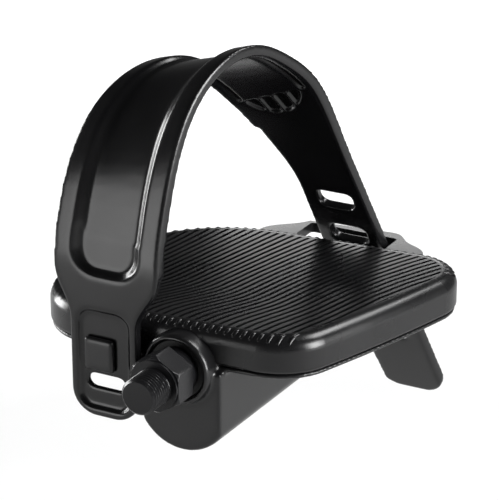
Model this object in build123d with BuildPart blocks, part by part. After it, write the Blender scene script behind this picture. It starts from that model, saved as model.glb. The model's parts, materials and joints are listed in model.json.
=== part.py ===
"""Toe clip pedal for an exercise bike: a ribbed tread on a spindle, with a moulded strap over the foot.

Millimetres, +Z up. The origin is on the spindle's axis, on the shoulder that seats on the crank.
+Y runs along the spindle away from the crank, the toes point to -X.
"""
import os
from math import cos, hypot, pi, sqrt

from build123d import *

# Spindle: crank thread, shoulder, spanner hexagon and collar
THREAD_R = 6.35
THREAD_LEN = 10.0
TIP_CHAMFER = 0.9
SHOULDER_R = 8.6
SHOULDER_T = 0.9
HEX_AF = 17.5
HEX_LEN = 9.2
HEX_TURN = 30.0
HEX_CHAMFER = 1.0
HEX_TO_BOSS = 3.1
COLLAR_R = 8.0
BODY_R = 4.9
TAIL_R = 3.0
TAIL_LEN = 8.0
TAIL_GAP = 1.95

# Clearances between pieces
RUN_CLEAR = 0.05
RACE_CLEAR = 0.03
SLIP = 0.1
SEAT_GAP = 0.05

# Near roller bearing
NEAR_BORE_R = 5.0
NEAR_OUTER_R = 9.5
NEAR_WIDTH = 5.0
NEAR_ROLLER_R = 1.0
NEAR_ROLLERS = 12

# Far roller bearing
FAR_BORE_R = 4.0
FAR_OUTER_R = 8.0
FAR_WIDTH = 5.0
FAR_ROLLER_R = 0.9
FAR_ROLLERS = 11

# What both bearings share
CAGE_T = 0.8
ROLLER_END_GAP = 0.4
BORE_LEDGE = 1.2

# Seal, retaining ring, washer, nut and end cap
RECESS_R = 10.5
RECESS_DEPTH = 3.6
SEAL_T = 1.8
SEAL_CHAMFER = 0.6
RING_T = 1.0
RING_GROOVE = 0.5
RING_W = 1.55
RING_MOUTH = 6.0
RING_OFFSET = 0.4
WASHER_R = 5.2
WASHER_T = 1.0
NUT_AF = 10.0
NUT_T = 5.0
NUT_CHAMFER = 0.6
CAP_R = 9.6
CAP_T = 1.6
CAP_CHAMFER = 0.8
CAP_PLUG = 4.0
CAP_WALL = 1.2

# Boss and bearing tube of the housing
BOSS_R = 12.4
BOSS_RIM_R = 11.6
BOSS_LEN = 8.5
TUBE_R = 11.5
TUBE_LEN = 88.0

# Keel with its counterweight
KEEL_HALF = 14.7
KEEL_SIDE_Z = -22.4
KEEL_BOTTOM_Z = -30.6
KEEL_FRONT = 4.0
KEEL_ROUND = 1.2
KEEL_DRAFT = 1.0
WEIGHT_W = 20.0
WEIGHT_X = 2.0
WEIGHT_H = 10.5
WEIGHT_LEN = 66.0
WEIGHT_TOP_Z = -13.5
PLUG_T = 3.0

# Plan of the tread, corner by corner from the boss face, and its bulging sides
DECK_CORNERS = ((-63.0, 3.0), (39.5, 8.5), (66.5, 102.0), (-49.0, 92.5))
DECK_ROUNDS = (24.0, 21.0, 18.0, 50.0)
DECK_BULGES = (1.0, 2.0, 1.2, 2.0)
PLATE_T = 1.8
PLATE_INSET = 0.4
PLATE_ROUND = 0.5
COVER_TOP = 14.5
COVER_TOP_R = 5.0
COVER_FOOT_R = 1.6
COVER_WALL = 3.0
COVER_ROOF_Z = 10.4

# Wavy grooves between the ribs, counted from the middle one: they lean, fan out towards the far side
# and swing over near the boss, less so the further right they are
GROOVE_PITCH = 2.54
GROOVE_W = 1.25
GROOVE_FLOOR = 13.4
GROOVE_RIM = 5.2
GROOVE_MIDDLE = (-1.8, 44.0)
GROOVE_LEAN = 0.19
GROOVE_BOW = 0.001
GROOVE_FAN = 0.00014
GROOVE_SWING = 8.0
SWING_FADE = 0.36
SWING_START = 12.0
SWING_END = 40.0
SWING_STEPS = 6
FAN_STEPS = 4
GROOVES = 22

# Cover screws, placed from the boss face
SCREW_SPOTS = ((-44.0, 22.0), (-35.0, 52.0), (-24.0, 82.0), (30.0, 22.0), (40.0, 52.0), (48.0, 84.0))
SCREW_R = 1.4
SCREW_LEN = 8.0
SCREW_HEAD_R = 2.8
SCREW_HEAD_T = 1.6
PILLAR_R = 3.4

# Loop on the far side that the strap passes through, and the hooked tongue below it that holds the strap
LOOP_TOP = 12.0
LOOP_T = 3.6
LOOP_ROOT = ((-22.5, 90.5), (-20.5, 98.0), (-19.3, 101.6), (-13.4, 107.6), (-8.4, 113.7))
LOOP_END = ((22.0, 117.0), (27.0, 116.0), (31.3, 111.4), (37.8, 107.7), (41.4, 103.3), (43.0, 97.0))
LOOP_HOLE = ((-7.0, 99.0), (27.4, 101.5), (27.4, 112.4), (-7.0, 112.4))
LOOP_HOLE_R = 1.5
TONGUE_W = 11.0
TONGUE_PAST = 2.6
TONGUE_ROOT = 92.0
HOOK_H = 2.0
HOOK_T = 1.5

# Strap: side edges in plan, then outer face of the two edges, height against distance from the boss face
STRAP_T = 3.9
STRAP_FRONT = -4.0
EDGE_LEFT = (-43.0, 0.38)
EDGE_RIGHT = (-3.8, 0.272)
LEG_BOTTOM_Z = -21.0
ARCH_Y = (-4.0, -3.3, -1.2, 3.3, 13.0, 27.0, 41.0, 57.0, 70.0, 79.0, 90.0)
ARCH_LEFT = (32.0, 42.0, 53.0, 67.0, 82.0, 90.7, 91.6, 83.5, 71.5, 61.8, 45.6)
ARCH_RIGHT = (32.0, 42.0, 53.0, 70.0, 88.8, 99.2, 100.9, 93.6, 82.6, 68.0, 45.6)
FAR_SLOPE = 0.52
FAR_LEFT = (1.3, 0.1)
FLARE_TOP = 57.0
FLARE_BOTTOM = 28.0
TAIL_LEN_BELOW = 76.4
TAIL_CORNER_R = 9.0

# Near leg of the strap
LEG_LEFT = -37.2
LEG_RIGHT = -11.8
LEG_STRAIGHT_TOP = 12.0
LEG_FLARE_TOP = 32.0
LEG_CORNER_R = 9.0
POCKET_RIM = 3.0
POCKET_TOP = 17.0
POCKET_DEPTH = 1.6
POCKET_CORNER_R = 5.0
FREE_SLOT = (-24.5, -8.6)
FREE_SLOT_W = 14.0
FREE_SLOT_H = 4.6

# Square peg that holds the near leg, and the lug that carries it
PEG = (-26.3, 1.6)
PEG_HEAD_W = 11.4
PEG_HEAD_H = 12.0
PEG_HEAD_PROUD = 0.5
PEG_HEAD_ROUND = 1.0
PEG_HEAD_CHAMFER = 0.5
PEG_STEM = 8.6
PEG_ROOM = 0.4
LUG_TOP = 10.0
LUG_BOTTOM = -5.6
LUG_LEFT = -36.0
LUG_T = 3.0
LUG_BRACE = 14.0

# Holes in the far leg
SLOT_PITCH = 16.9
SLOT_RISE = 24.2
SLOTS = 5
SLOT_W = 13.5
SLOT_H = 7.8
SLOT_CORNER_R = 2.4

# Long hollow with sloping walls on the strap's outer face
HOLLOW_RAIL = 7.0
HOLLOW_WALL = 2.5
HOLLOW_DEPTH = 2.3
HOLLOW_BOTTOM = 29.0
HOLLOW_CORNER_R = 9.0
HOLLOW_END_LEN = 24.0
HOLLOW_FIRST = 1
HOLLOW_POINTS = 9

# Coring beneath the arch: two long slots, then a half-moon pocket with small ribs beyond them
CORE_RAIL = 3.8
CORE_SLOT_W = 2.3
CORE_DEPTH = 1.5
CORE_POINTS = 5
MOON_HALF = 11.0
MOON_REACH = 9.0
MOON_RIBS = (-5.5, 0.0, 5.5)
MOON_RIB_W = 1.2
ABOVE = 3.0

# Sizes worked out from those above
HEX_END = SHOULDER_T + HEX_LEN
FACE = HEX_END + HEX_TO_BOSS
RECESS_END = FACE + RECESS_DEPTH
RING_Y = RECESS_END + RING_OFFSET
NEAR_Y = RING_Y + RING_T + SEAT_GAP
RING_OUTER_R = NEAR_OUTER_R + RING_GROOVE - SEAT_GAP
NEAR_PITCH_R = (NEAR_BORE_R + NEAR_OUTER_R) / 2
NEAR_TRACK = NEAR_ROLLER_R + RACE_CLEAR
FAR_PITCH_R = (FAR_BORE_R + FAR_OUTER_R) / 2
FAR_TRACK = FAR_ROLLER_R + RACE_CLEAR
TUBE_END = FACE + TUBE_LEN
FAR_Y = TUBE_END - TAIL_GAP - TAIL_LEN - FAR_WIDTH
GROOVE_NEAR = min(y for x, y in DECK_CORNERS)
GROOVE_FAR = max(y for x, y in DECK_CORNERS)
POCKET_LEN = WEIGHT_LEN + PLUG_T
LUG_RIGHT = KEEL_ROUND - KEEL_HALF
LUG_FACE = FACE + STRAP_FRONT + STRAP_T + SEAT_GAP
HEAD_BACK = FACE + STRAP_FRONT + POCKET_DEPTH - SEAT_GAP
HEAD_FRONT = FACE + STRAP_FRONT - PEG_HEAD_PROUD
FAR_REACH = hypot(1, FAR_SLOPE)
ANCHOR_Y = ARCH_Y[-1]
ANCHOR_Z = ARCH_LEFT[-1]
PASS_Z = LOOP_TOP - LOOP_T / 2
PASS_Y = ANCHOR_Y + (ANCHOR_Z - PASS_Z) * FAR_SLOPE
STRAP_MID = (EDGE_LEFT[0] + EDGE_RIGHT[0]) / 2
STRAP_W = EDGE_RIGHT[0] - EDGE_LEFT[0]
KNEE = Vector(0, ARCH_Y[HOLLOW_FIRST] - ARCH_Y[0], ARCH_LEFT[HOLLOW_FIRST] - ARCH_LEFT[0])
KNEE_START = (STRAP_MID, FACE + ARCH_Y[0], ARCH_LEFT[0])
HOLLOW_END = Plane(origin=KNEE_START, x_dir=(1, 0, 0), z_dir=(0, -KNEE.Z, KNEE.Y))
HOLLOW_END_MID = HOLLOW_BOTTOM - ARCH_LEFT[0] + HOLLOW_END_LEN / 2
HOLLOW_EDGE = HOLLOW_RAIL / STRAP_W
WALL_EDGE = (HOLLOW_RAIL + HOLLOW_WALL) / STRAP_W
CORE_EDGE = CORE_RAIL / STRAP_W
CORE_INNER = (CORE_RAIL + CORE_SLOT_W) / STRAP_W
HOLLOW_LAST = HOLLOW_POINTS - 1
CORE_FIRST = HOLLOW_POINTS - CORE_POINTS
FAR_RIGHT = (EDGE_RIGHT[0] + EDGE_RIGHT[1] * (PASS_Y - STRAP_FRONT), EDGE_RIGHT[1] * FAR_SLOPE / FAR_REACH)
PASS_X = (FAR_LEFT[0] + FAR_RIGHT[0]) / 2
FAR_HALF = (FAR_RIGHT[0] - FAR_LEFT[0]) / 2
LEG_LEAN = (FAR_LEFT[1] + FAR_RIGHT[1]) / 2
HOLD_SLOT = SLOT_PITCH * (SLOTS // 2) - SLOT_RISE
TONGUE_X = PASS_X + LEG_LEAN * HOLD_SLOT
TONGUE_TIP = PASS_Y + PASS_Z * FAR_SLOPE + TONGUE_PAST
FAR_LEG = Plane(origin=(PASS_X, FACE + PASS_Y, PASS_Z), x_dir=(1, 0, 0), z_dir=(0, 1, FAR_SLOPE))


def across(y):
    """Upright plane across the spindle at distance y, drawn with X to the right and Z up."""
    return Plane.XZ.offset(-y)


def deck_plan(inset):
    """Plan of the tread with its bulging sides and rounded corners, moved in by an inset all round."""
    count = len(DECK_CORNERS)
    sides = [Vector(*DECK_CORNERS[(k + 1) % count]) - Vector(*DECK_CORNERS[k]) for k in range(count)]
    inward = [Vector(-side.Y, side.X).normalized() for side in sides]
    corners = []
    for k, (x, y) in enumerate(DECK_CORNERS):
        both = inward[k - 1] + inward[k]
        corners.append(Vector(x, FACE + y) + both * (inset / (1 + inward[k - 1].dot(inward[k]))))
    with BuildSketch(Plane.XY) as plan:
        with BuildLine():
            for k, start in enumerate(corners):
                end = corners[(k + 1) % count]
                ThreePointArc(start, (start + end) / 2 - inward[k] * DECK_BULGES[k], end)
        make_face()
        for corner, corner_round in zip(corners, DECK_ROUNDS):
            fillet(plan.vertices().sort_by_distance(corner)[0], corner_round - inset)
    return plan.sketch


def groove_x(k, y):
    """Left side of groove k, counted from the middle one, at distance y from the boss face."""
    beyond = max(y - GROOVE_MIDDLE[1], 0)
    pitch = GROOVE_PITCH + GROOVE_FAN * beyond ** 2
    line = GROOVE_MIDDLE[0] + GROOVE_LEAN * (y - GROOVE_MIDDLE[1]) + GROOVE_BOW * beyond ** 2
    turn = min(max((y - SWING_START) / (SWING_END - SWING_START), 0), 1)
    swing = min(max(GROOVE_SWING - SWING_FADE * k, 0), GROOVE_SWING)
    return line + pitch * k - swing * (1 + cos(pi * turn)) / 2


def strap_point(i, share, depth):
    """Point i of the arch, a share of the way from left to right edge, depth inside the outer face."""
    def height(n):
        return ARCH_LEFT[n] + (ARCH_RIGHT[n] - ARCH_LEFT[n]) * share
    last = len(ARCH_Y) - 1
    if i == 0:
        along, up = 0.0, 1.0
    elif i == last:
        along, up = FAR_SLOPE, -1.0
    else:
        before = Vector(ARCH_Y[i] - ARCH_Y[i - 1], height(i) - height(i - 1))
        after = Vector(ARCH_Y[i + 1] - ARCH_Y[i], height(i + 1) - height(i))
        heading = before * (after.length / before.length) + after * (before.length / after.length)
        along, up = heading.X, heading.Y
    size = hypot(along, up)
    return ARCH_Y[i] + depth * up / size, height(i) - depth * along / size


def edge_line(share):
    """Start and lean, in plan, of the line along the strap a share of the way from left to right edge."""
    return EDGE_LEFT[0] + STRAP_W * share, EDGE_LEFT[1] + (EDGE_RIGHT[1] - EDGE_LEFT[1]) * share


def inner_face_point(i, share):
    """Point of the strap's inner face in space, at arch point i."""
    y, z = strap_point(i, share, STRAP_T)
    x, lean = edge_line(share)
    return Vector(x + lean * (y - STRAP_FRONT), FACE + y, z)


def edge_plane(share):
    """Upright plane along the strap, a share of the way from left edge to right edge, and its stretch."""
    x, lean = edge_line(share)
    plane = Plane(origin=(x, FACE + STRAP_FRONT, 0), x_dir=(lean, 1, 0), z_dir=(1, -lean, 0))
    return plane, hypot(1, lean)


def strap_band(share, outer, inner, first, last, legs):
    """Closed outline of a band of the strap between two depths, on the plane of one share."""
    stretch = edge_plane(share)[1]

    def place(point):
        return (point[0] - STRAP_FRONT) * stretch, point[1]
    top = [place(strap_point(i, share, outer)) for i in range(first, last + 1)]
    under = [place(strap_point(i, share, inner)) for i in range(first, last + 1)]
    if not legs:
        Spline(*top)
        Line(top[-1], under[-1])
        Spline(*reversed(under))
        Line(under[0], top[0])
        return
    down = ANCHOR_Z - PASS_Z + TAIL_LEN_BELOW / FAR_REACH
    out = down * FAR_SLOPE * stretch
    near = (0, 1)
    far = (FAR_SLOPE * stretch, -1)
    tail_top = (top[-1][0] + out, top[-1][1] - down)
    tail_under = (under[-1][0] + out, under[-1][1] - down)
    Line((top[0][0], LEG_BOTTOM_Z), top[0])
    Spline(*top, tangents=(near, far))
    Line(top[-1], tail_top)
    Line(tail_top, tail_under)
    Line(tail_under, under[-1])
    Spline(*reversed(under), tangents=((-far[0], 1), (0, -1)))
    Line(under[0], (under[0][0], LEG_BOTTOM_Z))
    Line((under[0][0], LEG_BOTTOM_Z), (top[0][0], LEG_BOTTOM_Z))


def strap_layer(low, high, outer, inners, first, last, legs=False):
    """Slice of the strap between two shares of its width, down to one depth at each of the two sides."""
    with BuildPart() as layer:
        with BuildSketch(edge_plane(low)[0]) as low_side:
            with BuildLine():
                strap_band(low, outer, inners[0], first, last, legs)
            make_face()
        with BuildSketch(edge_plane(high)[0]) as high_side:
            with BuildLine():
                strap_band(high, outer, inners[1], first, last, legs)
            make_face()
        loft([low_side.sketch.face(), high_side.sketch.face()], ruled=True)
    return layer.part


def race(inner_r, outer_r, y, width):
    """One plain bearing ring between two radii."""
    with BuildPart() as ring:
        with BuildSketch(across(y)):
            Circle(outer_r)
            Circle(inner_r, mode=Mode.SUBTRACT)
        extrude(amount=-width)
    return ring.part


def roller_set(y, width, pitch_r, roller_r, count):
    """Rollers joined by their cage, a thin ring that runs clear of both races."""
    with BuildPart() as rollers:
        with BuildSketch(across(y + ROLLER_END_GAP)):
            Circle(pitch_r + CAGE_T / 2)
            Circle(pitch_r - CAGE_T / 2, mode=Mode.SUBTRACT)
            with PolarLocations(pitch_r, count):
                Circle(roller_r)
        extrude(amount=2 * ROLLER_END_GAP - width)
    return rollers.part


# Spanner hexagon of the spindle, its front corners turned off
with BuildPart() as hexagon:
    with BuildSketch(across(SHOULDER_T)):
        RegularPolygon(HEX_AF / 2, 6, major_radius=False, rotation=HEX_TURN)
    extrude(amount=-HEX_LEN)
    with BuildSketch(Plane.XY):
        with BuildLine():
            corner_r = HEX_AF / sqrt(3) + SLIP
            Polyline(
                (0, SHOULDER_T),
                (corner_r - HEX_CHAMFER, SHOULDER_T),
                (corner_r, SHOULDER_T + HEX_CHAMFER),
                (corner_r, HEX_END),
                (0, HEX_END),
                close=True,
            )
        make_face()
    revolve(axis=Axis.Y, mode=Mode.INTERSECT)

# Spindle
with BuildPart() as spindle:
    with BuildSketch(across(-THREAD_LEN)):
        Circle(THREAD_R)
    extrude(amount=-THREAD_LEN)
    chamfer(spindle.edges().sort_by(Axis.Y)[0], TIP_CHAMFER)
    with BuildSketch(across(0)):
        Circle(SHOULDER_R)
    extrude(amount=-SHOULDER_T)
    add(hexagon.part)
    with BuildSketch(across(HEX_END)):
        Circle(COLLAR_R)
    extrude(amount=-(RECESS_END - HEX_END))
    with BuildSketch(across(RECESS_END)):
        Circle(NEAR_PITCH_R - NEAR_TRACK)
    extrude(amount=-(NEAR_Y - RECESS_END))
    with BuildSketch(across(NEAR_Y)):
        Circle(NEAR_BORE_R)
    extrude(amount=-NEAR_WIDTH)
    with BuildSketch(across(NEAR_Y + NEAR_WIDTH)):
        Circle(BODY_R)
    extrude(amount=-(FAR_Y - NEAR_Y - NEAR_WIDTH))
    with BuildSketch(across(FAR_Y)):
        Circle(FAR_BORE_R)
    extrude(amount=-FAR_WIDTH)
    with BuildSketch(across(FAR_Y + FAR_WIDTH)):
        Circle(TAIL_R)
    extrude(amount=-TAIL_LEN)
spindle.part.label = "spindle"

# Bearings
with BuildPart() as near_inner_race:
    add(race(NEAR_BORE_R, NEAR_PITCH_R - NEAR_TRACK, NEAR_Y, NEAR_WIDTH))
near_inner_race.part.label = "near_inner_race"

with BuildPart() as near_outer_race:
    add(race(NEAR_PITCH_R + NEAR_TRACK, NEAR_OUTER_R, NEAR_Y, NEAR_WIDTH))
near_outer_race.part.label = "near_outer_race"

with BuildPart() as near_rollers:
    add(roller_set(NEAR_Y, NEAR_WIDTH, NEAR_PITCH_R, NEAR_ROLLER_R, NEAR_ROLLERS))
near_rollers.part.label = "near_rollers"

with BuildPart() as far_inner_race:
    add(race(FAR_BORE_R, FAR_PITCH_R - FAR_TRACK, FAR_Y, FAR_WIDTH))
far_inner_race.part.label = "far_inner_race"

with BuildPart() as far_outer_race:
    add(race(FAR_PITCH_R + FAR_TRACK, FAR_OUTER_R, FAR_Y, FAR_WIDTH))
far_outer_race.part.label = "far_outer_race"

with BuildPart() as far_rollers:
    add(roller_set(FAR_Y, FAR_WIDTH, FAR_PITCH_R, FAR_ROLLER_R, FAR_ROLLERS))
far_rollers.part.label = "far_rollers"

# Retaining ring and seal in the mouth of the boss
with BuildPart() as retaining_ring:
    with BuildSketch(across(RING_Y)):
        Circle(RING_OUTER_R)
        Circle(RING_OUTER_R - RING_W, mode=Mode.SUBTRACT)
        with Locations((0, RING_OUTER_R)):
            Rectangle(RING_MOUTH, RING_OUTER_R, mode=Mode.SUBTRACT)
    extrude(amount=-RING_T)
retaining_ring.part.label = "retaining_ring"

with BuildPart() as axle_seal:
    with BuildSketch(across(RECESS_END - SEAL_T)):
        Circle(RECESS_R)
        Circle(COLLAR_R + RUN_CLEAR, mode=Mode.SUBTRACT)
    extrude(amount=-SEAL_T)
    rim = axle_seal.edges().group_by(Axis.Y)[0].sort_by(SortBy.RADIUS)[-1]
    chamfer(rim, SEAL_CHAMFER)
axle_seal.part.label = "axle_seal"

# Washer and lock nut on the spindle's tail
with BuildPart() as washer:
    with BuildSketch(across(FAR_Y + FAR_WIDTH)):
        Circle(WASHER_R)
        Circle(TAIL_R + SEAT_GAP, mode=Mode.SUBTRACT)
    extrude(amount=-WASHER_T)
washer.part.label = "washer"

with BuildPart() as lock_nut:
    with BuildSketch(across(FAR_Y + FAR_WIDTH + WASHER_T)):
        RegularPolygon(NUT_AF / 2, 6, major_radius=False)
        Circle(TAIL_R + SEAT_GAP, mode=Mode.SUBTRACT)
    extrude(amount=-NUT_T)
    with BuildSketch(Plane.XY):
        with BuildLine():
            nut_r = NUT_AF / sqrt(3) + SLIP
            nut_y = FAR_Y + FAR_WIDTH + WASHER_T
            Polyline(
                (0, nut_y),
                (nut_r, nut_y),
                (nut_r, nut_y + NUT_T - NUT_CHAMFER),
                (nut_r - NUT_CHAMFER, nut_y + NUT_T),
                (0, nut_y + NUT_T),
                close=True,
            )
        make_face()
    revolve(axis=Axis.Y, mode=Mode.INTERSECT)
lock_nut.part.label = "lock_nut"

# Housing: bottom plate, tube, boss and keel in one moulding
with BuildPart() as base_housing:
    with BuildSketch(Plane.XY):
        add(deck_plan(PLATE_INSET))
    extrude(amount=PLATE_T)
    fillet(base_housing.edges().group_by(Axis.Z)[0], PLATE_ROUND)
    with BuildSketch(Plane.XY):
        with Locations((TONGUE_X, FACE + (TONGUE_ROOT + TONGUE_TIP) / 2)):
            Rectangle(TONGUE_W, TONGUE_TIP - TONGUE_ROOT)
    extrude(amount=PLATE_T)
    with BuildSketch(Plane.XY):
        with Locations((TONGUE_X, FACE + TONGUE_TIP - HOOK_T / 2)):
            Rectangle(TONGUE_W, HOOK_T)
    extrude(amount=PLATE_T + HOOK_H)
    with BuildSketch(across(FACE + KEEL_FRONT)):
        with BuildLine():
            Line((-KEEL_HALF, KEEL_SIDE_Z), (-KEEL_HALF, 0))
            Line((-KEEL_HALF, 0), (KEEL_HALF, 0))
            Line((KEEL_HALF, 0), (KEEL_HALF, KEEL_SIDE_Z))
            ThreePointArc((KEEL_HALF, KEEL_SIDE_Z), (0, KEEL_BOTTOM_Z), (-KEEL_HALF, KEEL_SIDE_Z))
        make_face()
    extrude(amount=-(TUBE_LEN - KEEL_FRONT), taper=-KEEL_DRAFT)
    keel_front = base_housing.edges().filter_by(GeomType.CIRCLE).sort_by(Axis.Y)[0]
    fillet(keel_front, KEEL_ROUND)
    with BuildSketch(across(FACE)):
        Circle(TUBE_R)
    extrude(amount=-TUBE_LEN)
    with BuildSketch(across(FACE)):
        Circle(BOSS_R)
    extrude(amount=-BOSS_LEN)
    boss_front = base_housing.edges().filter_by(GeomType.CIRCLE).group_by(Axis.Y)[0]
    chamfer(boss_front, BOSS_R - BOSS_RIM_R)
    with BuildSketch(across(LUG_FACE)):
        with BuildLine():
            Polyline(
                (LUG_LEFT, LUG_BOTTOM), (LUG_LEFT, LUG_TOP), (LUG_RIGHT, LUG_TOP), (LUG_RIGHT, LUG_BOTTOM),
                close=True,
            )
        make_face()
    extrude(amount=-LUG_T)
    with BuildSketch(across(LUG_FACE)):
        with BuildLine():
            Polyline(
                (LUG_LEFT, LUG_BOTTOM), (LUG_LEFT, 0), (LUG_RIGHT, 0), (LUG_RIGHT, LUG_BOTTOM),
                close=True,
            )
        make_face()
    extrude(amount=-LUG_BRACE)
    with BuildSketch(across(HEAD_BACK)):
        with Locations(PEG):
            Rectangle(PEG_STEM, PEG_STEM)
    extrude(amount=-(LUG_FACE - HEAD_BACK + LUG_T))
    with BuildSketch(across(HEAD_FRONT)):
        with Locations(PEG):
            RectangleRounded(PEG_HEAD_W, PEG_HEAD_H, PEG_HEAD_ROUND)
    extrude(amount=-(HEAD_BACK - HEAD_FRONT))
    chamfer(base_housing.faces().sort_by(Axis.Y)[0].edges(), PEG_HEAD_CHAMFER)
    with BuildSketch(across(FACE)):
        Circle(RECESS_R)
    extrude(amount=-RECESS_DEPTH, mode=Mode.SUBTRACT)
    with BuildSketch(across(RECESS_END)):
        Circle(NEAR_OUTER_R)
    extrude(amount=-(NEAR_Y + NEAR_WIDTH - RECESS_END), mode=Mode.SUBTRACT)
    with BuildSketch(across(RING_Y)):
        Circle(NEAR_OUTER_R + RING_GROOVE)
    extrude(amount=-RING_T, mode=Mode.SUBTRACT)
    with BuildSketch(across(NEAR_Y)):
        Circle(FAR_OUTER_R - BORE_LEDGE)
    extrude(amount=-TUBE_LEN, mode=Mode.SUBTRACT)
    with BuildSketch(across(FAR_Y)):
        Circle(FAR_OUTER_R)
    extrude(amount=-TUBE_LEN, mode=Mode.SUBTRACT)
    with BuildSketch(across(TUBE_END - POCKET_LEN)):
        with Locations((WEIGHT_X, WEIGHT_TOP_Z - WEIGHT_H / 2)):
            Rectangle(WEIGHT_W, WEIGHT_H)
    extrude(amount=-POCKET_LEN, mode=Mode.SUBTRACT)
    with BuildSketch(Plane.XY):
        with Locations(*[(x, FACE + y) for x, y in SCREW_SPOTS]):
            Circle(SCREW_R + SLIP)
    extrude(amount=PLATE_T, mode=Mode.SUBTRACT)
    with BuildSketch(across(TUBE_END)):
        Circle(CAP_R + SLIP)
    extrude(amount=-(CAP_T + CAP_PLUG), mode=Mode.SUBTRACT)
base_housing.part.label = "base_housing"

# Counterweight, plug of its pocket and end cap
with BuildPart() as counterweight:
    with BuildSketch(across(TUBE_END - POCKET_LEN)):
        with Locations((WEIGHT_X, WEIGHT_TOP_Z - WEIGHT_H / 2)):
            Rectangle(WEIGHT_W - 2 * SEAT_GAP, WEIGHT_H - 2 * SEAT_GAP)
    extrude(amount=-WEIGHT_LEN)
counterweight.part.label = "counterweight"

with BuildPart() as keel_plug:
    with BuildSketch(across(TUBE_END - PLUG_T)):
        with Locations((WEIGHT_X, WEIGHT_TOP_Z - WEIGHT_H / 2)):
            Rectangle(WEIGHT_W, WEIGHT_H)
    extrude(amount=-PLUG_T)
keel_plug.part.label = "keel_plug"

with BuildPart() as end_cap:
    with BuildSketch(across(TUBE_END)):
        Circle(CAP_R)
    extrude(amount=-CAP_T)
    chamfer(end_cap.edges().sort_by(Axis.Y)[-1], CAP_CHAMFER)
    with BuildSketch(across(TUBE_END - CAP_PLUG)):
        Circle(FAR_OUTER_R)
        Circle(FAR_OUTER_R - CAP_WALL, mode=Mode.SUBTRACT)
    extrude(amount=-CAP_PLUG)
end_cap.part.label = "end_cap"

# Hole of the strap loop
with BuildSketch(Plane.XY) as loop_hole:
    with BuildLine():
        Polyline(*[(x, FACE + y) for x, y in LOOP_HOLE], close=True)
    make_face()
    fillet(loop_hole.vertices(), LOOP_HOLE_R)

# Tread cover: a hollow shell with rolled edge, wavy grooves and the strap loop
with BuildPart() as tread_cover:
    with BuildSketch(Plane.XY.offset(PLATE_T)):
        add(deck_plan(0))
    extrude(amount=COVER_TOP - PLATE_T)
    fillet(tread_cover.edges().group_by(Axis.Z)[-1], COVER_TOP_R)
    fillet(tread_cover.edges().group_by(Axis.Z)[0], COVER_FOOT_R)
    with BuildSketch(Plane.XY.offset(PLATE_T)):
        add(deck_plan(COVER_WALL))
    extrude(amount=COVER_ROOF_Z - PLATE_T, mode=Mode.SUBTRACT)
    with BuildSketch(Plane.XY.offset(PLATE_T)):
        with Locations(*[(x, FACE + y) for x, y in SCREW_SPOTS]):
            Circle(PILLAR_R)
    extrude(amount=COVER_ROOF_Z - PLATE_T)
    with BuildSketch(Plane.XY.offset(PLATE_T)):
        with Locations(*[(x, FACE + y) for x, y in SCREW_SPOTS]):
            Circle(SCREW_R)
    extrude(amount=SCREW_LEN, mode=Mode.SUBTRACT)
    with BuildSketch(Plane.XY.offset(LOOP_TOP - LOOP_T)):
        with BuildLine():
            root = [(x, FACE + y) for x, y in LOOP_ROOT]
            tip = [(x, FACE + y) for x, y in LOOP_END]
            Spline(*root[1:])
            Line(root[0], root[1])
            Line(root[-1], tip[0])
            Spline(*tip[:-1])
            Line(tip[-2], tip[-1])
            Line(tip[-1], root[0])
        make_face()
        add(loop_hole.sketch, mode=Mode.SUBTRACT)
    extrude(amount=LOOP_T)
    with BuildSketch(across(FACE)):
        Circle(TUBE_R + SLIP)
    extrude(amount=-(TUBE_LEN + SLIP), mode=Mode.SUBTRACT)
    with BuildSketch(across(FACE)):
        Circle(BOSS_R + SLIP)
    extrude(amount=-(BOSS_LEN + SLIP), mode=Mode.SUBTRACT)
    with BuildSketch(Plane.XY.offset(GROOVE_FLOOR)):
        swings = [SWING_START + (SWING_END - SWING_START) * n / SWING_STEPS for n in range(SWING_STEPS)]
        fans = [SWING_END + (GROOVE_FAR - SWING_END) * n / FAN_STEPS for n in range(FAN_STEPS + 1)]
        for k in range(-GROOVES, GROOVES + 1):
            run = [(groove_x(k, y), FACE + y) for y in (GROOVE_NEAR, *swings, *fans)]
            with BuildLine():
                Polyline(*run, *[(x + GROOVE_W, y) for x, y in reversed(run)], close=True)
            make_face()
        add(deck_plan(GROOVE_RIM), mode=Mode.INTERSECT)
    extrude(amount=COVER_TOP, mode=Mode.SUBTRACT)
tread_cover.part.label = "tread_cover"

# Cover screws, one by one
cover_screws = []
for k, (x, y) in enumerate(SCREW_SPOTS):
    with BuildPart() as cover_screw:
        with BuildSketch(Plane.XY):
            with Locations((x, FACE + y)):
                Circle(SCREW_HEAD_R)
        extrude(amount=-SCREW_HEAD_T)
        with BuildSketch(Plane.XY):
            with Locations((x, FACE + y)):
                Circle(SCREW_R - SEAT_GAP)
        extrude(amount=PLATE_T + SCREW_LEN - SLIP)
    cover_screw.part.label = f"cover_screw_{k + 1}"
    cover_screws.append(cover_screw.part)

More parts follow.
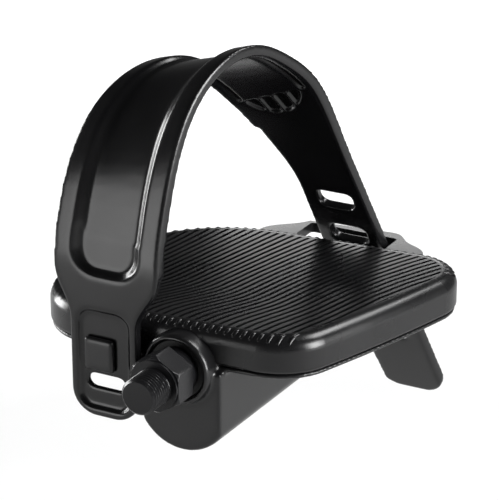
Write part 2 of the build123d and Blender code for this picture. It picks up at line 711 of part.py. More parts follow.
# Strap: ruled band between its two side edges, then its leg, holes and hollows
moon_start = inner_face_point(HOLLOW_LAST, 1 / 2)
moon_across = inner_face_point(HOLLOW_LAST, 1) - inner_face_point(HOLLOW_LAST, 0)
moon_along = inner_face_point(HOLLOW_LAST + 1, 1 / 2) - moon_start
MOON = Plane(origin=moon_start, x_dir=moon_across, z_dir=moon_across.cross(moon_along))
with BuildPart() as strap:
    add(strap_layer(0, 1, 0, (STRAP_T, STRAP_T), 0, len(ARCH_Y) - 1, True))
    with BuildSketch(FAR_LEG):
        edge_x, edge_lean = edge_line(0)
        flare_lean = edge_lean * FAR_SLOPE / FAR_REACH
        flare_x = edge_x + edge_lean * (PASS_Y - STRAP_FRONT) - flare_lean * FLARE_TOP - PASS_X
        leg_x = -FAR_HALF - FAR_LEFT[1] * FLARE_BOTTOM
        tail_x = -FAR_HALF + FAR_LEFT[1] * TAIL_LEN_BELOW
        aside = flare_x - FAR_HALF
        with BuildLine():
            Spline(
                (flare_x, -FLARE_TOP), (leg_x, -FLARE_BOTTOM), tangents=((flare_lean, 1), (FAR_LEFT[1], 1))
            )
            Polyline((leg_x, -FLARE_BOTTOM), (tail_x, TAIL_LEN_BELOW), (aside, TAIL_LEN_BELOW))
            Polyline((aside, TAIL_LEN_BELOW), (aside, -FLARE_TOP), (flare_x, -FLARE_TOP))
        make_face()
    extrude(amount=ABOVE + STRAP_T, both=True, mode=Mode.SUBTRACT)
    with BuildSketch(FAR_LEG):
        for start_x, lean, turn in ((-FAR_HALF, FAR_LEFT[1], 1), (FAR_HALF, FAR_RIGHT[1], -1)):
            tip = Vector(start_x + lean * TAIL_LEN_BELOW, TAIL_LEN_BELOW)
            start = tip + Vector(turn * TAIL_CORNER_R, 0)
            stop = tip + Vector(-lean, -1).normalized() * TAIL_CORNER_R
            aside = Vector(-turn * ABOVE, 0)
            below = Vector(0, ABOVE)
            with BuildLine():
                TangentArc(start, stop, tangent=aside)
                Polyline(stop, stop + aside, tip + aside + below, start + below, start)
            make_face()
    extrude(amount=ABOVE + STRAP_T, both=True, mode=Mode.SUBTRACT)
    with BuildSketch(across(FACE + STRAP_FRONT - ABOVE)):
        for edge_x, leg_x in ((EDGE_LEFT[0], LEG_LEFT), (EDGE_RIGHT[0], LEG_RIGHT)):
            beyond = 2 * edge_x - leg_x
            with BuildLine():
                Polyline((leg_x, LEG_STRAIGHT_TOP), (leg_x, LEG_BOTTOM_Z), (beyond, LEG_BOTTOM_Z))
                Polyline((beyond, LEG_BOTTOM_Z), (beyond, LEG_FLARE_TOP), (edge_x, LEG_FLARE_TOP))
                Spline((edge_x, LEG_FLARE_TOP), (leg_x, LEG_STRAIGHT_TOP), tangents=((0, -1), (0, -1)))
            make_face()
    extrude(amount=-(2 * ABOVE + STRAP_T), mode=Mode.SUBTRACT)
    fillet(strap.faces().filter_by(Axis.Z).sort_by(Axis.X)[0].edges().filter_by(Axis.Y), LEG_CORNER_R)
    with BuildSketch(across(FACE + STRAP_FRONT - ABOVE)):
        with Locations(((LEG_LEFT + LEG_RIGHT) / 2, (POCKET_TOP + LEG_BOTTOM_Z + POCKET_RIM) / 2)):
            pocket_w = LEG_RIGHT - LEG_LEFT - 2 * POCKET_RIM
            pocket_h = POCKET_TOP - LEG_BOTTOM_Z - POCKET_RIM
            RectangleRounded(pocket_w, pocket_h, POCKET_CORNER_R)
    extrude(amount=-(ABOVE + POCKET_DEPTH), mode=Mode.SUBTRACT)
    with BuildSketch(across(FACE + STRAP_FRONT)):
        with Locations(PEG):
            Rectangle(PEG_STEM + 2 * PEG_ROOM, PEG_STEM + 2 * PEG_ROOM)
        with Locations(FREE_SLOT):
            SlotOverall(FREE_SLOT_W, FREE_SLOT_H)
    extrude(amount=-(STRAP_T + ABOVE), mode=Mode.SUBTRACT)
    with BuildSketch(FAR_LEG):
        drops = [k * SLOT_PITCH - SLOT_RISE for k in range(SLOTS)]
        with Locations(*[(drop * LEG_LEAN, drop) for drop in drops]):
            RectangleRounded(SLOT_W, SLOT_H, SLOT_CORNER_R)
    extrude(amount=ABOVE + STRAP_T, both=True, mode=Mode.SUBTRACT)
    for low, high, inners in (
        (HOLLOW_EDGE, WALL_EDGE, (0, HOLLOW_DEPTH)),
        (WALL_EDGE, 1 - WALL_EDGE, (HOLLOW_DEPTH, HOLLOW_DEPTH)),
        (1 - WALL_EDGE, 1 - HOLLOW_EDGE, (HOLLOW_DEPTH, 0)),
    ):
        add(strap_layer(low, high, -ABOVE, inners, HOLLOW_FIRST, HOLLOW_LAST), mode=Mode.SUBTRACT)
    with BuildSketch(HOLLOW_END) as hollow_mouth:
        with Locations((0, HOLLOW_END_MID)):
            RectangleRounded(STRAP_W - 2 * HOLLOW_RAIL, HOLLOW_END_LEN, HOLLOW_CORNER_R)
    extrude(amount=ABOVE, mode=Mode.SUBTRACT)
    with BuildSketch(HOLLOW_END.offset(-HOLLOW_DEPTH)) as hollow_floor:
        with Locations((0, HOLLOW_END_MID)):
            floor_w = STRAP_W - 2 * HOLLOW_RAIL - 2 * HOLLOW_WALL
            RectangleRounded(floor_w, HOLLOW_END_LEN - 2 * HOLLOW_WALL, HOLLOW_CORNER_R - HOLLOW_WALL)
    loft([hollow_mouth.sketch.face(), hollow_floor.sketch.face()], mode=Mode.SUBTRACT)
    for low, high in ((CORE_EDGE, CORE_INNER), (1 - CORE_INNER, 1 - CORE_EDGE)):
        add(
            strap_layer(low, high, STRAP_T - CORE_DEPTH, (STRAP_T + ABOVE,) * 2, CORE_FIRST, HOLLOW_LAST),
            mode=Mode.SUBTRACT,
        )
    with BuildSketch(MOON.offset(-ABOVE)):
        with BuildLine():
            ThreePointArc((-MOON_HALF, 0), (0, MOON_REACH), (MOON_HALF, 0))
            Line((MOON_HALF, 0), (-MOON_HALF, 0))
        make_face()
        with Locations(*[(x, 0) for x in MOON_RIBS]):
            Rectangle(MOON_RIB_W, 2 * MOON_REACH, mode=Mode.SUBTRACT)
    extrude(amount=ABOVE + CORE_DEPTH, mode=Mode.SUBTRACT)
strap.part.label = "strap"

os.makedirs("parts", exist_ok=True)
for piece in (
    spindle, near_inner_race, near_outer_race, near_rollers, far_inner_race, far_outer_race, far_rollers,
    retaining_ring, axle_seal, washer, lock_nut, base_housing, counterweight, keel_plug, end_cap,
    tread_cover, strap,
):
    export_step(piece.part, f"parts/{piece.part.label}.step")
for screw in cover_screws:
    export_step(screw, f"parts/{screw.label}.step")
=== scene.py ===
"""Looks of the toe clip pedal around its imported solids. Metres, in the frame of the solids."""
import json
import math

import bpy
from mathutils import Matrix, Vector
from mathutils.bvhtree import BVHTree


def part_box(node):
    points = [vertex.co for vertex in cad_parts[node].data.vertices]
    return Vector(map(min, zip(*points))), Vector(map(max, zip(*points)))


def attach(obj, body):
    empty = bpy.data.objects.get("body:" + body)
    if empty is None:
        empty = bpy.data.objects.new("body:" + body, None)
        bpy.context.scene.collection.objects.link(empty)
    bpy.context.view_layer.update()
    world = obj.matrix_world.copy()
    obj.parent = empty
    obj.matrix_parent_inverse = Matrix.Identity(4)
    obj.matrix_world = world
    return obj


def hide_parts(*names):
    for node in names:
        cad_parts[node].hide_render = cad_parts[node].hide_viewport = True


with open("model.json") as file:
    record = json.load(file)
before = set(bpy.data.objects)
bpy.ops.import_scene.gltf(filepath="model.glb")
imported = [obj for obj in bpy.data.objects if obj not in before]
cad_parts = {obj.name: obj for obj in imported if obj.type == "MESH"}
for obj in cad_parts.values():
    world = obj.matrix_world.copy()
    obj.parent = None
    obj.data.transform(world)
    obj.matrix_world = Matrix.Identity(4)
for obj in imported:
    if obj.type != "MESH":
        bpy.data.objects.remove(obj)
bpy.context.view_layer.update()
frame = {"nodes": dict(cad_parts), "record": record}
scene = bpy.context.scene
nodes = frame["nodes"]

# Values that the materials share
NOISE_RANGE = (0.3, 0.7)
NOISE_SHIFT = (1.0, 0.37, 0.71)
PATCH_SCALE = 35.0
PATCH_DETAIL = 3
GRAIN_DETAIL = 2
GRAIN_SEED = 5.0
GRAIN_STRENGTH = 0.5


def new_material(name):
    """Empty node material with its output and a principled shader."""
    mat = bpy.data.materials.new(name)
    mat.use_nodes = True
    tree = mat.node_tree
    tree.nodes.clear()
    out = tree.nodes.new("ShaderNodeOutputMaterial")
    shader = tree.nodes.new("ShaderNodeBsdfPrincipled")
    tree.links.new(shader.outputs["BSDF"], out.inputs["Surface"])
    return mat, tree, shader


def noise(tree, scale, detail, seed):
    """Noise texture in the object's own space, moved by its seed."""
    place = tree.nodes.new("ShaderNodeTexCoord")
    shift = tree.nodes.new("ShaderNodeMapping")
    shift.inputs["Location"].default_value = tuple(seed * share for share in NOISE_SHIFT)
    tex = tree.nodes.new("ShaderNodeTexNoise")
    tex.inputs["Scale"].default_value = scale
    tex.inputs["Detail"].default_value = detail
    tree.links.new(place.outputs["Object"], shift.inputs["Vector"])
    tree.links.new(shift.outputs["Vector"], tex.inputs["Vector"])
    return tex.outputs["Fac"]


def spread(tree, value, old, new):
    """Map a value from one range onto another."""
    node = tree.nodes.new("ShaderNodeMapRange")
    node.inputs["From Min"].default_value = old[0]
    node.inputs["From Max"].default_value = old[1]
    node.inputs["To Min"].default_value = new[0]
    node.inputs["To Max"].default_value = new[1]
    tree.links.new(value, node.inputs["Value"])
    return node.outputs["Result"]


def between(tree, value, places, first, second):
    """Colour that goes from one tone to another between two places of a value."""
    ramp = tree.nodes.new("ShaderNodeValToRGB")
    for element, place, tone in zip(ramp.color_ramp.elements, places, (first, second)):
        element.position = place
        element.color = (*tone, 1)
    tree.links.new(value, ramp.inputs["Fac"])
    return ramp.outputs["Color"]


def solid_look(name, dark, light, rough, grain, depth, seed, metallic=0.0, shine=0.5):
    """Material with patchy tone, patchy roughness and a fine grain."""
    mat, tree, shader = new_material(name)
    broad = noise(tree, PATCH_SCALE, PATCH_DETAIL, seed)
    fine = noise(tree, grain, GRAIN_DETAIL, seed + GRAIN_SEED)
    tree.links.new(between(tree, broad, NOISE_RANGE, dark, light), shader.inputs["Base Color"])
    tree.links.new(spread(tree, broad, NOISE_RANGE, rough), shader.inputs["Roughness"])
    shader.inputs["Metallic"].default_value = metallic
    shader.inputs["Specular IOR Level"].default_value = shine
    bump = tree.nodes.new("ShaderNodeBump")
    bump.inputs["Strength"].default_value = GRAIN_STRENGTH
    bump.inputs["Distance"].default_value = depth
    tree.links.new(fine, bump.inputs["Height"])
    tree.links.new(bump.outputs["Normal"], shader.inputs["Normal"])
    return mat


LOOKS = {
    "housing_plastic": solid_look(
        "housing_look", dark=(0.005, 0.005, 0.0055), light=(0.007, 0.007, 0.0075), rough=(0.28, 0.36),
        grain=2600, depth=0.00003, seed=1.0,
    ),
    "tread_plastic": solid_look(
        "tread_look", dark=(0.005, 0.005, 0.0055), light=(0.007, 0.007, 0.0075), rough=(0.24, 0.32),
        grain=2600, depth=0.00003, seed=2.0,
    ),
    "strap_plastic": solid_look(
        "strap_look", dark=(0.004, 0.004, 0.0045), light=(0.006, 0.006, 0.0065), rough=(0.20, 0.27),
        grain=2600, depth=0.00002, seed=3.0,
    ),
    "spindle_steel": solid_look(
        "spindle_look", dark=(0.008, 0.008, 0.009), light=(0.013, 0.013, 0.014), rough=(0.20, 0.28),
        grain=1800, depth=0.00002, seed=4.0, metallic=0.05, shine=0.3,
    ),
    "bearing_steel": solid_look(
        "bearing_look", dark=(0.50, 0.51, 0.53), light=(0.60, 0.61, 0.63), rough=(0.14, 0.24),
        grain=1800, depth=0.00001, seed=5.0, metallic=1.0,
    ),
    "seal_rubber": solid_look(
        "seal_look", dark=(0.008, 0.008, 0.008), light=(0.012, 0.012, 0.012), rough=(0.55, 0.70),
        grain=2600, depth=0.00004, seed=6.0,
    ),
    "weight_iron": solid_look(
        "weight_look", dark=(0.13, 0.13, 0.135), light=(0.18, 0.18, 0.185), rough=(0.55, 0.70),
        grain=900, depth=0.0001, seed=7.0, metallic=0.8,
    ),
    "screw_steel": solid_look(
        "screw_look", dark=(0.26, 0.27, 0.28), light=(0.34, 0.35, 0.36), rough=(0.25, 0.38),
        grain=1800, depth=0.00002, seed=8.0, metallic=1.0,
    ),
}

slot_of = {row["node"]: row["material_slot"] for row in frame["record"]["subparts"]}
for name, obj in nodes.items():
    obj.data.materials.clear()
    obj.data.materials.append(LOOKS[slot_of[name]])

# Soft skins of the two large mouldings
SMOOTHING = 0.5


def mould(name, cell, rounds, keep=1):
    """Give a solid an even skin of small cells, smoothed in rounds, and keep a share of its faces."""
    skin = nodes[name].modifiers.new("skin", "REMESH")
    skin.mode = "VOXEL"
    skin.voxel_size = cell
    skin.use_smooth_shade = True
    ease = nodes[name].modifiers.new("ease", "SMOOTH")
    ease.factor = SMOOTHING
    ease.iterations = rounds
    if keep < 1:
        thin = nodes[name].modifiers.new("thin", "DECIMATE")
        thin.ratio = keep


mould("strap", cell=0.00036, rounds=55, keep=0.40)
mould("base_housing", cell=0.0007, rounds=12)


def smooth_mesh(name, points, faces, crease):
    """Mesh with smooth shading, apart from edges that bend by more than the crease angle in degrees."""
    mesh = bpy.data.meshes.new(name)
    mesh.from_pydata(points, [], faces)
    mesh.shade_smooth()
    mesh.set_sharp_from_angle(angle=math.radians(crease))
    return mesh


def new_piece(mesh, look):
    """Object of a mesh in the scene, under the mesh's name."""
    obj = bpy.data.objects.new(mesh.name, mesh)
    obj.data.materials.append(look)
    scene.collection.objects.link(obj)
    return obj


# Spindle with its crank thread, in the sizes of its solid
THREAD_R = 0.00635
THREAD_LEN = 0.0100
THREAD_PITCH = 0.00127
THREAD_DEPTH = 0.0006
FLANK_STEEPNESS = 1.25
TIP_CHAMFER = 0.0009
SHOULDER_R = 0.0086
SHOULDER_T = 0.0009
HEX_SIDES = 6
HEX_AF = 0.0175
HEX_LEN = 0.0092
HEX_CORNER_R = 0.0102
HEX_CHAMFER = 0.0010
# Turned lengths behind the hexagon: where each ends, and its radius
SHAFT = (
    (0.0168, 0.0080),
    (0.01825, 0.00622),
    (0.02325, 0.0050),
    (0.08625, 0.0049),
    (0.09125, 0.0040),
    (0.09925, 0.0030),
)
SPINDLE_SIDES = 120
THREAD_ROWS = 120
CHAMFER_ROWS = 6
SPINDLE_CREASE = 30


def thread_radius(turn, y):
    """Radius of the right-hand thread, which runs out at the shoulder and is chamfered at the tip."""
    across = abs(2 * ((y / THREAD_PITCH - turn) % 1) - 1)
    groove = max(0, 1 - FLANK_STEEPNESS * across)
    fade = min(1, -y / THREAD_PITCH)
    return min(THREAD_R - THREAD_DEPTH * groove * fade, THREAD_R - TIP_CHAMFER + y + THREAD_LEN)


def hex_radius(turn, y):
    """Radius of the spanner hexagon, point up, its front corners turned off."""
    flat = HEX_AF / 2 / math.cos(((turn * HEX_SIDES) % 1 - 0.5) * 2 * math.pi / HEX_SIDES)
    return min(flat, HEX_CORNER_R - HEX_CHAMFER + y - SHOULDER_T)


def round_radius(radius):
    """Radius of a plain turned length."""
    return lambda turn, y: radius


def spindle_rows():
    """Places along the spindle from the tip of the thread to the tail, each with its radius."""
    rows = [(-THREAD_LEN * (1 - k / THREAD_ROWS), thread_radius) for k in range(THREAD_ROWS + 1)]
    rows += [(0, round_radius(SHOULDER_R)), (SHOULDER_T, round_radius(SHOULDER_R))]
    rows += [(SHOULDER_T + HEX_CHAMFER * k / CHAMFER_ROWS, hex_radius) for k in range(CHAMFER_ROWS + 1)]
    start = SHOULDER_T + HEX_LEN
    rows += [(start, hex_radius)]
    for end, radius in SHAFT:
        rows += [(start, round_radius(radius)), (end, round_radius(radius))]
        start = end
    return rows


def spindle_mesh():
    """Rows of points round the spindle's axis, closed at both ends."""
    rows = spindle_rows()
    points = []
    for y, radius_at in rows:
        for n in range(SPINDLE_SIDES):
            turn = n / SPINDLE_SIDES
            radius = radius_at(turn, y)
            points.append((radius * math.sin(2 * math.pi * turn), y, radius * math.cos(2 * math.pi * turn)))
    faces = [list(range(SPINDLE_SIDES - 1, -1, -1))]
    for m in range(len(rows) - 1):
        for n in range(SPINDLE_SIDES):
            here = m * SPINDLE_SIDES + n
            there = m * SPINDLE_SIDES + (n + 1) % SPINDLE_SIDES
            faces.append((here, there, there + SPINDLE_SIDES, here + SPINDLE_SIDES))
    faces.append(list(range(len(points) - SPINDLE_SIDES, len(points))))
    return smooth_mesh("threaded_spindle", points, faces, SPINDLE_CREASE)


threaded = new_piece(spindle_mesh(), LOOKS["spindle_steel"])
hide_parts("spindle")
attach(threaded, "spindle")

# Grooves of the tread, in the sizes of its solid, and the boss face that their distances start from
FACE = 0.0132
GROOVES = 22
GROOVE_PITCH = 0.00254
GROOVE_W = 0.00125
GROOVE_FLOOR = 0.0134
GROOVE_MIDDLE = (-0.0018, 0.044)
GROOVE_LEAN = 0.19
GROOVE_BOW = 1.0
GROOVE_FAN = 0.14
GROOVE_SWING = 0.008
SWING_FADE = 0.00036
SWING_START = 0.012
SWING_END = 0.040

# Search for the places where a groove is cut
GROOVE_FLOOR_SLACK = 0.00005
SCAN_STEP = 0.00025
SCAN_STEPS = 480
SCAN_LEAST = 8

# Rib ends that run out over the tread's rolled edge, along the lines of the grooves
RIB_LIFT = 0.00045
RIB_FOOT = 0.0004
RIB_STEP = 0.00025
RIB_ROWS = 60
RIB_LEAST = 4
RIB_ARC = 8
RIB_CREASE = 50
ROLL_FALL = 0.0019

DOWN = Vector((0, 0, -1))
tread_tree = BVHTree.FromPolygons(
    [v.co for v in nodes["tread_cover"].data.vertices],
    [f.vertices for f in nodes["tread_cover"].data.polygons],
)
tread_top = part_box("tread_cover")[1][2]


def groove_x(k, y):
    """Left side of groove k, counted from the middle one, at distance y from the boss face."""
    beyond = max(y - GROOVE_MIDDLE[1], 0)
    pitch = GROOVE_PITCH + GROOVE_FAN * beyond ** 2
    line = GROOVE_MIDDLE[0] + GROOVE_LEAN * (y - GROOVE_MIDDLE[1]) + GROOVE_BOW * beyond ** 2
    turn = min(max((y - SWING_START) / (SWING_END - SWING_START), 0), 1)
    swing = min(max(GROOVE_SWING - SWING_FADE * k, 0), GROOVE_SWING)
    return line + pitch * k - swing * (1 + math.cos(math.pi * turn)) / 2


def tread_height(x, y):
    """Height of the tread's surface, or none beside it."""
    above = Vector((x, FACE + y, 2 * tread_top))
    hit = tread_tree.ray_cast(above, DOWN)[0]
    return hit.z if hit else None


def in_groove(k, y):
    """Whether groove k is cut at distance y from the boss face."""
    height = tread_height(groove_x(k, y) + GROOVE_W / 2, y)
    return height is not None and abs(height - GROOVE_FLOOR) < GROOVE_FLOOR_SLACK


def groove_span(k):
    """First and last distance from the boss face where groove k is cut, or none."""
    cut = [n * SCAN_STEP for n in range(SCAN_STEPS) if in_groove(k, n * SCAN_STEP)]
    if len(cut) < SCAN_LEAST:
        return None
    near = far = cut[len(cut) // 2]
    while in_groove(k, near - SCAN_STEP):
        near -= SCAN_STEP
    while in_groove(k, far + SCAN_STEP):
        far += SCAN_STEP
    return near, far


def rib_path(k, start, way):
    """Places along the middle of one rib, from the groove's end until the roll has fallen away."""
    path = []
    for n in range(RIB_ROWS):
        y = start + way * RIB_STEP * n
        x = (groove_x(k, y) + GROOVE_W + groove_x(k + 1, y)) / 2
        base = tread_height(x, y)
        if base is None or base < tread_top - ROLL_FALL:
            break
        half = (groove_x(k + 1, y) - groove_x(k, y) - GROOVE_W) / 2
        path.append((x, y, base, half))
    return path


def rib_end(path, way, points, faces):
    """One rib's end: a low arched strip that runs out over the roll and sinks into it."""
    first = len(points)
    for n, (x, y, base, half) in enumerate(path):
        share = n / (len(path) - 1)
        top = min(base + RIB_LIFT * math.sqrt(1 - share ** 2), tread_top)
        foot = base - RIB_FOOT
        for m in range(RIB_ARC + 1):
            angle = math.pi * m / RIB_ARC
            points.append((x - half * math.cos(angle), FACE + y, foot + (top - foot) * math.sin(angle)))
    for n in range(len(path) - 1):
        row = first + n * (RIB_ARC + 1)
        for m in range(RIB_ARC):
            here = row + m
            faces.append((here, here + 1, here + RIB_ARC + 2, here + RIB_ARC + 1)[::way])
        faces.append((row + RIB_ARC, row, row + RIB_ARC + 1, row + 2 * RIB_ARC + 1)[::way])
    faces.append(tuple(range(first, first + RIB_ARC + 1))[::-way])
    faces.append(tuple(range(len(points) - RIB_ARC - 1, len(points)))[::way])


def rib_ends_mesh():
    """All rib ends of the near and the far edge."""
    points, faces = [], []
    spans = {k: groove_span(k) for k in range(-GROOVES, GROOVES + 1)}
    for k in range(-GROOVES, GROOVES):
        if spans[k] and spans[k + 1]:
            near = rib_path(k, min(spans[k][0], spans[k + 1][0]), -1)
            far = rib_path(k, max(spans[k][1], spans[k + 1][1]), 1)
            for path, way in ((near, -1), (far, 1)):
                if len(path) >= RIB_LEAST:
                    rib_end(path, way, points, faces)
    return smooth_mesh("rib_ends", points, faces, RIB_CREASE)


rib_ends = new_piece(rib_ends_mesh(), LOOKS["tread_plastic"])
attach(rib_ends, "pedal")

# Cover screws with a domed head and a cross recess
HEAD_T = 0.0016
HEAD_DOME = 0.0006
SHANK_SHARE = 0.5
CROSS_REACH = 0.0019
CROSS_HALF = 0.00035
CROSS_DEPTH = 0.0009
CROSS_STEEPNESS = 3
SCREW_SIDES = 64
SCREW_RINGS = 20
SCREW_CREASE = 35


def head_depth(x, y, radius, head_r):
    """How far the head's face lies above its lowest level, in the dome or the cross."""
    dome = HEAD_DOME * (radius / head_r) ** 2
    arm = min(max(abs(x), abs(y)) - CROSS_REACH, 0)
    wall = max(min((CROSS_HALF - min(abs(x), abs(y))) / CROSS_HALF * CROSS_STEEPNESS, 1), 0)
    return dome + CROSS_DEPTH * wall * min(-arm / CROSS_HALF, 1)


def screw_mesh(name, low, high):
    """Screw with its head down, from the corners of its solid's box."""
    middle = ((low[0] + high[0]) / 2, (low[1] + high[1]) / 2)
    head_r = (high[0] - low[0]) / 2
    shank_r = head_r * SHANK_SHARE
    rows = [(head_r * n / SCREW_RINGS, None) for n in range(1, SCREW_RINGS + 1)]
    rows += [(head_r, low[2] + HEAD_T), (shank_r, low[2] + HEAD_T), (shank_r, high[2])]
    points = [(*middle, low[2] + CROSS_DEPTH)]
    for radius, level in rows:
        for m in range(SCREW_SIDES):
            x = radius * math.cos(2 * math.pi * m / SCREW_SIDES)
            y = radius * math.sin(2 * math.pi * m / SCREW_SIDES)
            z = level if level is not None else low[2] + head_depth(x, y, radius, head_r)
            points.append((middle[0] + x, middle[1] + y, z))
    faces = [(0, 1 + (m + 1) % SCREW_SIDES, 1 + m) for m in range(SCREW_SIDES)]
    for n in range(len(rows) - 1):
        for m in range(SCREW_SIDES):
            here = 1 + n * SCREW_SIDES + m
            there = 1 + n * SCREW_SIDES + (m + 1) % SCREW_SIDES
            faces.append((here, there, there + SCREW_SIDES, here + SCREW_SIDES))
    faces.append(tuple(range(len(points) - SCREW_SIDES, len(points))))
    return smooth_mesh(name, points, faces, SCREW_CREASE)


for node in sorted(name for name in nodes if name.startswith("cover_screw_")):
    piece_name = node.replace("cover_screw", "cross_screw")
    screw = new_piece(screw_mesh(piece_name, *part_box(node)), LOOKS["screw_steel"])
    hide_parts(node)
    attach(screw, "pedal")

# Middle of the object, which the lamps and the camera face
CENTRE = Vector((0.0038, 0.0582, 0.0272))


def outward(azimuth, elevation):
    """Direction out from the middle of the object, azimuth counted from the crank side to the right."""
    turn, rise = math.radians(azimuth), math.radians(elevation)
    return Vector((math.sin(turn) * math.cos(rise), -math.cos(turn) * math.cos(rise), math.sin(rise)))


def lamp(name, azimuth, elevation, reach, size, glow):
    """Soft rectangular studio lamp that faces the object, its glow being the brightness of its face."""
    data = bpy.data.lights.new(name, "AREA")
    data.shape = "RECTANGLE"
    data.size, data.size_y = size
    data.energy = glow * math.pi * size[0] * size[1]
    obj = bpy.data.objects.new(name, data)
    obj.location = CENTRE + outward(azimuth, elevation) * reach
    obj.rotation_mode = "QUATERNION"
    obj.rotation_quaternion = (CENTRE - obj.location).to_track_quat("-Z", "Y")
    obj.visible_camera = False
    scene.collection.objects.link(obj)


lamp("lamp_right", azimuth=90, elevation=12, reach=1.0, size=(0.44, 0.6), glow=18)
lamp("lamp_left", azimuth=-84, elevation=4, reach=1.0, size=(0.42, 0.6), glow=18)
lamp("lamp_front", azimuth=-26, elevation=-2, reach=0.5, size=(0.17, 0.24), glow=3.5)
lamp("lamp_back", azimuth=140, elevation=52, reach=1.2, size=(0.55, 0.40), glow=12)
lamp("lamp_far", azimuth=-164, elevation=8, reach=0.2, size=(0.11, 0.04), glow=3.6)


def joined(tree, operation, first, second):
    """Result of a math operation on two linked values."""
    node = tree.nodes.new("ShaderNodeMath")
    node.operation = operation
    tree.links.new(first, node.inputs[0])
    tree.links.new(second, node.inputs[1])
    return node.outputs["Value"]


def mirrored(tree, path):
    """One for a ray that a glossy or clear surface sends on, otherwise zero."""
    return joined(tree, "MAXIMUM", path.outputs["Is Glossy Ray"], path.outputs["Is Transmission Ray"])


# World: white behind the object, dimmer overhead in reflections, and a low even fill
WHITE = (1, 1, 1, 1)
BACKDROP_STRENGTH = 1.0
FILL_STRENGTH = 0.06
HORIZON_TONE = (0.15, 0.15, 0.15)
OVERHEAD_TONE = (0.04, 0.04, 0.04)
SKY_RISE = (0.1, 0.6)


def white_light(tree, strength):
    """Even white light from all round."""
    light = tree.nodes.new("ShaderNodeBackground")
    light.inputs["Color"].default_value = WHITE
    light.inputs["Strength"].default_value = strength
    return light.outputs["Background"]


def sky_light(tree):
    """Light that goes from the horizon's tone to the one overhead."""
    place = tree.nodes.new("ShaderNodeTexCoord")
    split = tree.nodes.new("ShaderNodeSeparateXYZ")
    light = tree.nodes.new("ShaderNodeBackground")
    tree.links.new(place.outputs["Generated"], split.inputs["Vector"])
    tone = between(tree, split.outputs["Z"], SKY_RISE, HORIZON_TONE, OVERHEAD_TONE)
    tree.links.new(tone, light.inputs["Color"])
    return light.outputs["Background"]


def mixed(tree, share, first, second):
    """Shader between two others, by the share of the second."""
    mix = tree.nodes.new("ShaderNodeMixShader")
    tree.links.new(share, mix.inputs["Fac"])
    tree.links.new(first, mix.inputs[1])
    tree.links.new(second, mix.inputs[2])
    return mix.outputs["Shader"]


world = bpy.data.worlds.new("studio")
world.use_nodes = True
world_tree = world.node_tree
world_tree.nodes.clear()
world_out = world_tree.nodes.new("ShaderNodeOutputWorld")
world_path = world_tree.nodes.new("ShaderNodeLightPath")
fill = white_light(world_tree, FILL_STRENGTH)
backdrop = white_light(world_tree, BACKDROP_STRENGTH)
unseen = mixed(world_tree, mirrored(world_tree, world_path), fill, sky_light(world_tree))
surround = mixed(world_tree, world_path.outputs["Is Camera Ray"], unseen, backdrop)
world_tree.links.new(surround, world_out.inputs["Surface"])
scene.world = world

# Floor, pale and wide, well below the pedal that a crank would carry
FLOOR_Z = -0.115
FLOOR_R = 3.5
FLOOR_SIDES = 48
FLOOR_DARK = (0.50, 0.50, 0.50)
FLOOR_LIGHT = (0.53, 0.53, 0.53)
FLOOR_SCALE = 2.0
FLOOR_DETAIL = 2
FLOOR_SEED = 9.0
FLOOR_ROUGH = 0.9
FLOOR_SHINE = 0.1
# White that the floor adds for the camera: less near the object, where its shadow shows
GLOW_DISTANCE = (0.2, 0.7)
GLOW_STRENGTH = (0.42, 1.0)
GLOW_MIRRORED = 0.12


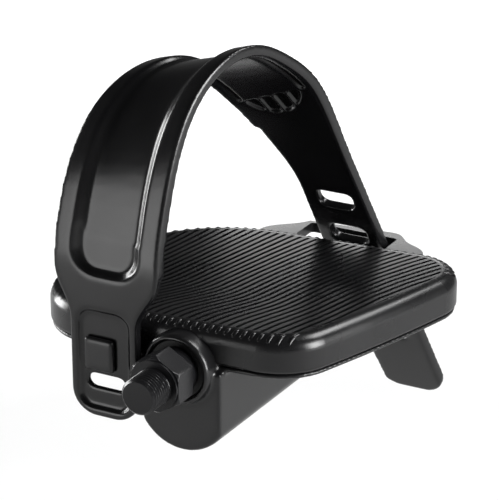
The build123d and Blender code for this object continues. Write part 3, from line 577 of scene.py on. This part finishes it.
def floor_glow(tree):
    """White glow of the floor, which grows with the distance from the object."""
    place = tree.nodes.new("ShaderNodeTexCoord")
    away = tree.nodes.new("ShaderNodeVectorMath")
    away.operation = "DISTANCE"
    away.inputs[1].default_value = (CENTRE.x, CENTRE.y, FLOOR_Z)
    tree.links.new(place.outputs["Object"], away.inputs[0])
    path = tree.nodes.new("ShaderNodeLightPath")
    rising = spread(tree, away.outputs["Value"], GLOW_DISTANCE, GLOW_STRENGTH)
    seen = joined(tree, "MULTIPLY", path.outputs["Is Camera Ray"], rising)
    reflected = tree.nodes.new("ShaderNodeMath")
    reflected.operation = "MULTIPLY"
    reflected.inputs[1].default_value = GLOW_MIRRORED
    tree.links.new(mirrored(tree, path), reflected.inputs[0])
    glow = tree.nodes.new("ShaderNodeEmission")
    tree.links.new(joined(tree, "MAXIMUM", seen, reflected.outputs["Value"]), glow.inputs["Strength"])
    return glow.outputs["Emission"]


def floor_look():
    """Matt pale floor with a faint change of tone, and its glow."""
    mat, tree, shader = new_material("floor_look")
    shader.inputs["Roughness"].default_value = FLOOR_ROUGH
    shader.inputs["Specular IOR Level"].default_value = FLOOR_SHINE
    patches = noise(tree, FLOOR_SCALE, FLOOR_DETAIL, FLOOR_SEED)
    tone = between(tree, patches, NOISE_RANGE, FLOOR_DARK, FLOOR_LIGHT)
    tree.links.new(tone, shader.inputs["Base Color"])
    both = tree.nodes.new("ShaderNodeAddShader")
    tree.links.new(shader.outputs["BSDF"], both.inputs[0])
    tree.links.new(floor_glow(tree), both.inputs[1])
    surface = next(n for n in tree.nodes if n.type == "OUTPUT_MATERIAL")
    tree.links.new(both.outputs["Shader"], surface.inputs["Surface"])
    return mat


rim = []
for k in range(FLOOR_SIDES):
    angle = 2 * math.pi * k / FLOOR_SIDES
    rim.append((FLOOR_R * math.cos(angle), FLOOR_R * math.sin(angle), FLOOR_Z))
floor_mesh = bpy.data.meshes.new("floor")
floor_mesh.from_pydata(rim, [], [list(range(FLOOR_SIDES))])
floor = new_piece(floor_mesh, floor_look())

# Camera at the photograph's angle
CAMERA_AZIMUTH = 28.3
CAMERA_ELEVATION = 22.0
CAMERA_REACH = 0.8
SENSOR_MM = 36
LENS_MM = 171.7

back = outward(CAMERA_AZIMUTH, CAMERA_ELEVATION)
camera_data = bpy.data.cameras.new("camera")
camera_data.sensor_width = SENSOR_MM
camera_data.lens = LENS_MM
camera = bpy.data.objects.new("camera", camera_data)
camera.location = CENTRE + back * CAMERA_REACH
camera.rotation_mode = "QUATERNION"
camera.rotation_quaternion = (-back).to_track_quat("-Z", "Y")
scene.collection.objects.link(camera)
scene.camera = camera

scene.view_settings.view_transform = "Standard"
